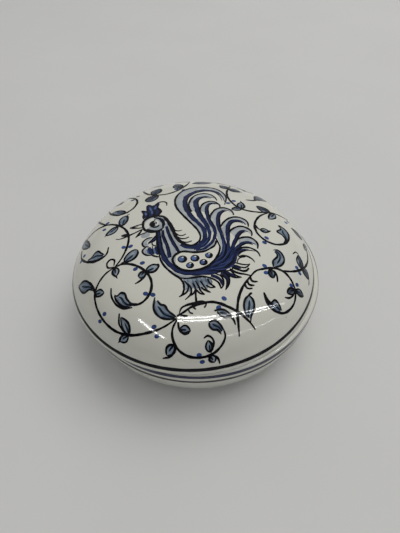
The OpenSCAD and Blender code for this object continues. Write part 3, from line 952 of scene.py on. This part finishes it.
def bird_tail():
    """Three long feathers that start at the neck and curl over, then shorter ones."""
    outer = [(1.4, -9.9), (2.9, -8.3), (3.3, -6.0), (2.3, -2.8), (-0.4, 1.4), (-3.3, 6.0), (-5.8, 11.0),
        (-6.7, 16.2), (-5.9, 21.3), (-3.5, 25.8), (0.1, 28.5), (5.0, 29.6), (9.7, 28.7), (12.8, 25.8),
        (14.5, 21.5), (14.6, 18.2), (13.6, 13.8)]
    first = [(-4.0, -9.9), (-1.8, -11.2), (0.6, -11.4), (2.8, -10.5), (4.2, -8.8), (5.0, -6.6),
        (5.0, -4.4), (4.5, -2.2), (3.5, -0.4), (2.0, 1.8), (0.4, 4.1), (-1.1, 7.2), (-2.2, 10.4),
        (-2.7, 14.4), (-2.4, 17.6), (-1.5, 20.2), (0.6, 23.0), (3.2, 24.9), (6.6, 26.0), (9.6, 25.4),
        (11.9, 23.2), (13.2, 19.8), (13.8, 16.0)]
    between(BIRD_WASH, first[4:], outer[1:], 60)
    between(BIRD_WASH, [(8.8, -4.8), (7.7, 0.2), (6.3, 4.6)], [(5.0, -4.4), (3.5, -0.4), (0.4, 4.1)], 12)
    feather(first, (1.2, 1.9, 1.6, 1.8, 1.7, 2.2, 2.2, 1.6, 0.8))
    bird_line(outer, 0.95)
    feather([(0.8, -12.0), (3.2, -11.3), (5.3, -9.4), (6.5, -7.0), (6.8, -4.4), (6.3, -2.2), (5.5, 0.2),
        (4.8, 1.9), (3.8, 4.0), (3.0, 6.6), (2.3, 9.6), (1.9, 12.8), (1.9, 15.4), (2.7, 17.6), (4.4, 19.1),
        (6.6, 19.5), (9.4, 18.9)], (1.4, 1.3, 1.5, 2.0, 2.2, 1.9, 1.2),
        [(0.2, 8.0), (-0.6, 10.2), (-1.0, 13.0), (-0.6, 15.6), (0.3, 18.4), (1.6, 20.5), (3.4, 21.9),
        (5.8, 22.5), (8.2, 21.5), (9.8, 19.4), (10.6, 16.6)], 9)
    feather([(1.6, -12.6), (4.2, -12.2), (6.5, -10.4), (8.1, -7.8), (8.8, -4.8), (8.5, -2.0), (7.7, 0.2),
        (6.9, 2.4), (6.4, 4.6), (6.1, 7.4), (6.1, 10.4), (6.6, 12.6), (7.7, 14.0), (9.2, 14.4),
        (10.8, 13.6)], (0.9, 1.1, 1.4, 1.5, 1.4),
        [(3.5, 7.4), (3.5, 9.7), (3.95, 11.6), (4.8, 13.5), (6.2, 14.9), (7.8, 15.7), (9.4, 15.5),
        (10.7, 14.4), (11.5, 13.0), (11.5, 11.4)], 9)
    for streak in ([(3.4, -10.6), (4.9, -9.4), (6.0, -7.6)], [(4.4, -11.6), (6.2, -10.0), (7.3, -8.4)],
                   [(5.4, 3.2), (5.8, 2.0), (6.2, 0.8)]):
        DOTS.stroke(smooth(streak), 0.35, (0.3, 0.3), load=1.0)
    feather([(10.8, -15.0), (11.7, -12.4), (12.0, -9.6), (11.6, -6.8), (10.9, -4.2), (10.3, -1.8),
        (10.1, 0.6), (10.1, 3.0), (10.4, 5.4), (11.1, 7.4), (12.1, 8.8), (13.4, 9.6), (14.9, 9.6)],
        (1.8, 1.5, 1.2, 1.3, 1.5, 1.3),
        [(7.1, 3.4), (7.5, 5.4), (8.3, 7.5), (9.5, 9.5), (11.0, 10.7), (12.8, 11.25), (14.5, 10.9),
        (15.9, 9.85), (16.6, 8.3), (16.7, 6.8)], 6)
    between(BIRD_WASH, [(7.1, 3.0), (8.2, 0.0), (9.2, -3.0), (9.5, -6.4), (10.3, -9.4), (10.5, -13.0)],
        [(9.5, 4.0), (9.5, 0.0), (9.9, -3.0), (10.8, -6.4), (11.2, -9.4), (10.9, -13.0)], 20)
    feather([(12.6, -15.4), (13.3, -11.8), (13.5, -8.0), (13.5, -5.2), (13.6, -2.6), (13.9, -0.2),
        (14.9, 1.9), (16.5, 3.2), (18.4, 3.6), (20.1, 3.0), (21.0, 1.7)], (1.6, 1.4, 1.4, 1.7, 1.7, 1.5),
        [(11.2, -0.7), (12.0, 1.2), (13.3, 3.1), (14.8, 4.6), (16.7, 5.55), (18.7, 5.75), (20.4, 5.1),
        (21.7, 3.9), (22.1, 2.4), (22.0, 0.6)], 4)
    between(BIRD_WASH, [(11.2, -0.8), (11.7, -3.4), (12.4, -6.0), (12.9, -8.4)],
        [(13.1, 0.6), (12.9, -3.0), (13.0, -6.0), (13.1, -8.4)], 12)
    feather([(14.2, -14.8), (14.8, -11.6), (15.7, -8.8), (16.6, -6.4), (17.5, -4.4), (18.7, -2.7),
        (20.1, -1.9), (21.6, -2.2)], (1.6, 1.4, 1.5, 1.2),
        [(14.1, -3.8), (15.0, -2.25), (16.5, -0.75), (18.2, 0.2), (19.95, 0.35), (21.65, -0.3),
        (22.8, -1.4), (23.1, -2.8), (22.8, -4.3)], 3)
    feather([(15.0, -15.0), (16.1, -11.9), (17.4, -9.8), (19.2, -8.2), (21.0, -7.6), (22.6, -7.8),
        (24.0, -8.3)], (1.6, 1.4, 1.0, 0.8),
        [(17.1, -6.9), (18.2, -6.05), (19.95, -5.3), (21.85, -5.1), (23.35, -5.8), (24.4, -6.9),
        (24.85, -8.4), (24.5, -10.2)], 2)
    feather([(15.4, -15.2), (16.6, -13.2), (18.0, -12.0), (19.4, -11.4), (21.0, -11.1)], (1.4, 1.2, 0.7))
    bird_line([(16.0, -12.4), (17.0, -11.6), (18.3, -10.7), (20.0, -10.3), (21.7, -10.35), (23.4, -11.0),
        (24.6, -12.1), (25.2, -13.7)], 0.8)
    bird_line([(16.7, -14.8), (17.7, -13.2), (19.4, -12.1), (21.4, -11.5), (23.4, -11.6)], 0.4)
    bird_line([(16.9, -15.0), (18.4, -14.3), (20.0, -14.3), (21.3, -14.9), (22.3, -15.7), (22.8, -16.7)],
        0.7)
    bird_line([(16.2, -17.6), (16.7, -16.1), (17.9, -15.1), (19.6, -14.7)], 0.5)
    bird_line([(15.4, -17.6), (17.4, -18.0), (19.1, -18.1), (20.7, -17.8)], 0.6)
    bird_line([(20.9, -17.5), (19.9, -18.8), (18.6, -19.4), (16.9, -19.1), (14.8, -18.6)], 0.6)
    bird_line([(20.4, -19.3), (19.6, -20.4), (18.2, -20.8), (16.5, -20.4), (14.2, -19.6)], 0.9)
    bird_blue([(13.0, -19.2), (15.4, -19.3), (17.6, -19.9)], 1.0, (1.0, 0.2))
    bird_line([(13.3, -20.5), (15.2, -21.4), (17.0, -21.9), (18.9, -22.05), (21.0, -22.4)],
        (1.0, 0.8, 0.7), (1.0, 0.6))


def bird_legs():
    """Tufts under the body, the leg, and the claws round the perch."""
    for root, tip in (((-2.2, -24.4), (-2.6, -28.6)), ((-0.8, -24.3), (-1.0, -29.2)),
                      ((0.8, -24.2), (1.2, -28.6)), ((2.2, -24.1), (3.0, -28.6)),
                      ((3.8, -24.1), (5.0, -28.2)), ((5.2, -24.3), (6.4, -27.0))):
        middle = ((root[0] + tip[0]) / 2 + 0.3, (root[1] + tip[1]) / 2)
        WASH.stroke(smooth([root, middle, tip]), 1.9, (1.0, 0.2))
    for points in (
            [(-2.6, -25.2), (-1.5, -26.6), (-1.3, -28.0), (-2.2, -29.6), (-4.5, -30.9)],
            [(-1.4, -26.2), (-0.3, -28.2), (-0.6, -30.2), (-2.4, -32.0)],
            [(0.2, -26.0), (1.1, -27.8), (0.6, -29.6), (-0.9, -30.8)],
            [(1.2, -25.2), (2.3, -27.4), (2.9, -28.9), (4.3, -30.3)],
            [(1.4, -28.4), (2.6, -29.8), (4.2, -30.3)],
            [(2.8, -25.2), (4.2, -27.4), (5.1, -28.8), (6.4, -29.5)],
            [(3.1, -27.6), (4.2, -28.6), (6.3, -29.5)],
            [(5.5, -24.5), (5.9, -25.8), (6.9, -26.8), (8.1, -27.6)],
            [(4.8, -26.9), (6.3, -27.7), (8.1, -27.6)],
            [(8.2, -22.4), (10.2, -23.4), (11.0, -25.2), (10.8, -26.8), (10.0, -28.1)],
            [(11.0, -21.6), (12.7, -23.1), (13.1, -24.8), (12.7, -26.5), (11.6, -28.5)],
            [(9.9, -22.6), (11.8, -24.2), (12.2, -26.0), (11.6, -28.4)],
            [(13.4, -20.6), (14.6, -22.0), (15.9, -23.0), (17.5, -23.4)],
            [(11.9, -22.0), (13.3, -23.1), (15.0, -23.6), (17.5, -23.4)]):
        bird_line(points, 0.65, (0.7, 0.5))
    for points in ([(6.6, -23.2), (8.6, -23.8), (10.0, -25.0), (10.4, -26.8)],
                   [(10.2, -21.8), (12.0, -23.4), (12.6, -25.2), (12.4, -26.8)],
                   [(11.6, -21.2), (13.4, -22.4), (15.4, -23.3)]):
        bird_blue(points, 1.1, (1.0, 0.2))
    bird_line([(1.2, -28.4), (1.2, -30.6), (1.4, -33.2)], 0.8, (1, 1))
    bird_line([(-4.5, -36.6), (-3.8, -34.9), (-2.3, -34.0), (-0.5, -33.5), (1.6, -33.1), (3.3, -32.7),
        (4.5, -32.9)], (0.5, 0.7, 1.2, 0.9))
    for points in ([(4.7, -32.9), (4.6, -34.0), (4.0, -34.9)],
                   [(0.2, -34.2), (0.6, -34.9), (1.2, -35.4)],
                   [(-1.4, -35.3), (-0.9, -36.4), (0.2, -36.8)],
                   [(-4.2, -37.1), (-2.8, -37.4), (-1.6, -37.5)]):
        bird_line(points, 0.6, (1.0, 0.6))


def ring(coat, radius, width):
    """A closed painted line round the lid."""
    angles = [math.tau * k / ROUND_STEPS for k in range(ROUND_STEPS)]
    path = [(radius * math.cos(a), radius * math.sin(a)) for a in angles]
    coat.stroke(path, width, closed=True, shake=0.04)


def dish_ring(coat, height, width):
    """A closed painted line round the dish, slightly tilted and uneven."""
    rows = []
    for k in range(ROUND_STEPS):
        x = math.tau * BOX_R * k / ROUND_STEPS
        wide = width * (1 + 0.08 * math.sin(x * 0.1) + 0.06 * math.sin(x * 0.26 + 1))
        low = height - LINE_TILT * math.cos(x / BOX_R + 0.8)
        rows.append([(x, low + wide * (c / 2 - 0.5)) for c in range(3)])
    coat.patch(rows, closed=True)


BAND = Coat(on_lid, LINE_LIFT)
DISH_BLUE = Coat(on_dish, BLUE_LIFT)
DISH_DARK = Coat(on_dish, BLUE_LIFT)

front_scroll()
left_scroll()
upper_left_scroll()
back_left_scroll()
right_scroll()
upper_right_scroll()
back_right_scroll()
hidden_back()
perch()
bird_body()
bird_tail()
bird_head()
bird_legs()
ring(BAND, BAND_AT, BAND_W)
dish_ring(DISH_BLUE, BLUE_LINE_Z, BLUE_LINE_W)
dish_ring(DISH_DARK, DARK_LINE_Z, DARK_LINE_W)

GLAZE = porcelain()
CLAY = bisque()
BLACK = brushed_paint("black_underglaze", (0.008, 0.009, 0.015), (0.001, 0.001, 0.003), 0.3,
                      1.22)
COBALT = brushed_paint("cobalt_underglaze", (0.014, 0.029, 0.110), (0.003, 0.007, 0.040), 0.2,
                       1.27)
BERRY = brushed_paint("berry_underglaze", (0.035, 0.085, 0.27), (0.010, 0.028, 0.13))
BRIGHT = brushed_paint("bright_underglaze", (0.10, 0.17, 0.36), (0.030, 0.060, 0.19))
LEAF = brushed_paint("leaf_underglaze", (0.33, 0.39, 0.44), (0.060, 0.100, 0.170), 0.1)
SLATE = brushed_paint("slate_underglaze", (0.055, 0.080, 0.125), (0.008, 0.014, 0.035))
MIST = brushed_paint("pale_underglaze", (0.47, 0.50, 0.51), (0.29, 0.33, 0.38))
BARE = brushed_paint("white_underglaze", (0.70, 0.70, 0.65), (0.60, 0.62, 0.62))

LINES.build("lid_vine_lines", "lid", BLACK)
WASH.build("lid_leaf_wash", "lid", LEAF)
DARKS.build("lid_dark_leaves", "lid", SLATE)
BERRIES.build("lid_berries", "lid", BERRY)
BIRD_LINES.build("rooster_lines", "lid", BLACK)
BIRD_BLUE.build("rooster_blue", "lid", COBALT)
BIRD_WASH.build("rooster_wash", "lid", MIST)
DOTS.build("rooster_dots", "lid", BRIGHT)
PALE.build("rooster_eye_white", "lid", BARE)
PALE_TOP.build("rooster_glints", "lid", BARE)
EYE_TOP.build("rooster_pupil", "lid", BLACK)
BAND.build("lid_edge_band", "lid", BLACK)
DISH_BLUE.build("dish_blue_line", "base", COBALT)
DISH_DARK.build("dish_dark_line", "base", BLACK)

# ---------------------------------------------------------------- the two shells
lid = lathe("lid_porcelain", lid_section(), LID_X + LID_SHIFT)
dish = lathe("dish_porcelain", dish_section(), DISH_SHIFT)
# Faces lower than bare_z stand or rest on something, so they have no glaze.
for shell, node, bare_z in ((lid, "lid", SEAM_Z + 0.12), (dish, "base", FOOT_EDGE_R * 0.6)):
    shell.data.materials.append(GLAZE)
    shell.data.materials.append(CLAY)
    for face in shell.data.polygons:
        if face.center.z < bare_z * MM:
            face.material_index = 1
    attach(shell, node)
    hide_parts(node)

# ---------------------------------------------------------------- floor, light and camera
FLOOR_HALF = 3.0
floor = mesh_object("floor", [(-FLOOR_HALF, -FLOOR_HALF, 0), (FLOOR_HALF, -FLOOR_HALF, 0),
                              (FLOOR_HALF, FLOOR_HALF, 0), (-FLOOR_HALF, FLOOR_HALF, 0)],
                    [(0, 1, 2, 3)])
cloth, cloth_tree, cloth_surface, cloth_where = shader("pale_floor")
cloth_tree.links.new(
    blend_colours(cloth_tree, noise(cloth_tree, cloth_where, 12, 3), (0.66, 0.66, 0.66),
                  (0.71, 0.71, 0.715)),
    cloth_surface.inputs["Base Color"])
cloth_surface.inputs["Roughness"].default_value = 0.9
floor.data.materials.append(cloth)

world = bpy.data.worlds.new("soft_room")
world.use_nodes = True
sky = world.node_tree
sky_way = sky.nodes.new("ShaderNodeTexCoord").outputs["Generated"]
sky_side = sky.nodes.new("ShaderNodeVectorMath")
sky_side.operation = "DOT_PRODUCT"
sky_side.inputs[1].default_value = (0.15, 0.30, 0.94)
sky.links.new(sky_way, sky_side.inputs[0])
sky_glow = remap(sky, sky_side.outputs["Value"], -0.2, 1.0, 0, 1)
sky.links.new(blend_colours(sky, sky_glow, (0.05, 0.052, 0.056), (0.60, 0.60, 0.585)),
              sky.nodes["Background"].inputs["Color"])
bpy.context.scene.world = world


def area_light(name, place, size, radiance, aim=None, turn=0.0, colour=(1, 1, 1)):
    """A rectangular light of that radiance. Without an aim it faces straight down."""
    light = bpy.data.lights.new(name, "AREA")
    light.shape = "RECTANGLE"
    light.size, light.size_y = size
    light.energy = radiance * math.pi * size[0] * size[1]
    light.color = colour
    lamp = bpy.data.objects.new(name, light)
    lamp.location = place
    if aim is None:
        lamp.rotation_euler = (0, 0, math.radians(turn))
    else:
        lamp.rotation_euler = (Vector(aim) - Vector(place)).to_track_quat("-Z", "Y").to_euler()
    bpy.context.scene.collection.objects.link(lamp)
    return lamp


# A broad window lights the scene; narrow ceiling tubes only show in the glaze.
CEILING = 1.2
window = area_light("window", (0.50, 0.40, 1.4), (1.2, 1.2), 1.95, aim=(0, 0, 0),
                    colour=(1, 0.985, 0.95))
window.visible_glossy = False
tubes = [area_light("tube", (1.25, row, CEILING), (3.0, 0.030), 44) for row in (-0.615, -0.50)]
tubes.append(area_light("tube_end", (3.65, -0.49, CEILING), (1.8, 0.05), 9))
tubes.append(area_light("far_tube", (2.6, -1.68, CEILING), (3.4, 0.05), 13))
tubes.append(area_light("side_tube", (-0.97, -1.2, CEILING), (1.0, 0.10), 24, turn=-73))
for tube in tubes:
    tube.visible_diffuse = False

# The camera stands in front of the box, above it, and looks down at it.
CAMERA_AT = Vector((1.17, -108.85, 145.36)) * MM
CAMERA_DOWN = math.radians(48.32)
CAMERA_ROLL = -0.0265
right = Vector((1, 0, 0))
ahead = Vector((0, math.cos(CAMERA_DOWN), -math.sin(CAMERA_DOWN)))
up = right.cross(ahead)
tilted_right = right * math.cos(CAMERA_ROLL) + up * math.sin(CAMERA_ROLL)
tilted_up = up * math.cos(CAMERA_ROLL) - right * math.sin(CAMERA_ROLL)
camera_data = bpy.data.cameras.new("camera")
camera_data.sensor_width = 36
camera_data.lens = 26.0
camera_data.clip_start = 0.005
camera = bpy.data.objects.new("camera", camera_data)
axes = Matrix((tilted_right, tilted_up, -ahead)).transposed()
camera.matrix_world = Matrix.Translation(CAMERA_AT) @ axes.to_4x4()
bpy.context.scene.collection.objects.link(camera)
bpy.context.scene.camera = camera
bpy.context.scene.view_settings.view_transform = "Standard"

bpy.context.view_layer.update()
